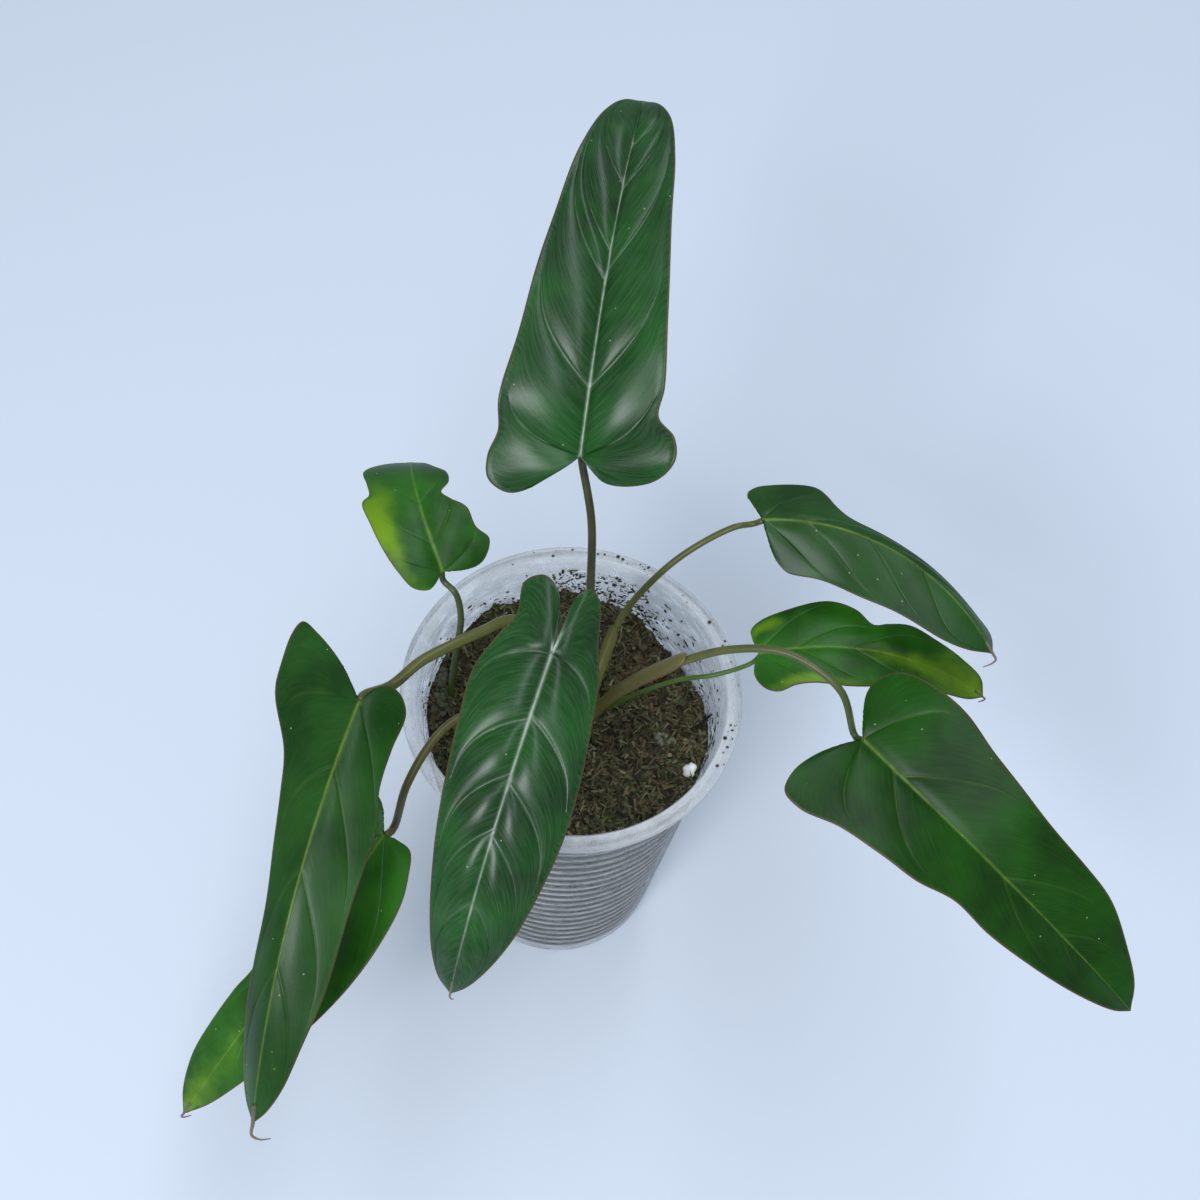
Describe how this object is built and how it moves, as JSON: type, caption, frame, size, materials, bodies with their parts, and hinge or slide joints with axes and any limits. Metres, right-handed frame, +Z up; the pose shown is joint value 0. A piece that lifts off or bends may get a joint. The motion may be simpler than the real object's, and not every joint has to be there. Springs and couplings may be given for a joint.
{
  "type": "potted philodendron",
  "caption": "Young philodendron with long eared glossy leaves on slender sheathed petioles, with a small seedling beside it, in a clear ribbed plastic cup filled with mossy potting mix",
  "frame": {"origin": "middle of the cup's flat underside, on its vertical axis", "axes": "+Z up along the cup's axis; +Y to the back, where the tallest leaf stands; the front leaf hangs towards -Y; +X to the right"},
  "size_m": [0.2454, 0.2504, 0.2236],
  "materials": {
    "clear_plastic": "clear thermoformed plastic, slightly milky, with fine ribs",
    "potting_mix": "damp crumbly potting mix with moss shreds",
    "petiole": "smooth olive brown plant stem, slightly waxy",
    "seedling_petiole": "smooth dark olive plant stem",
    "deep_leaf": "glossy deep green leaf with pale midrib and arching veins",
    "young_leaf": "glossy leaf, deep green to yellow green"
  },
  "bodies": {
    "root": {"cup": "clear_plastic", "soil": "potting_mix", "stem": "petiole", "seedling_stem": "seedling_petiole", "leaf_back": "deep_leaf", "leaf_front": "deep_leaf", "leaf_left": "deep_leaf", "leaf_left_lower": "young_leaf", "leaf_right_back": "deep_leaf", "leaf_right_small": "young_leaf", "leaf_right_front": "deep_leaf", "leaf_seedling": "young_leaf"}
  },
  "joints": []
}
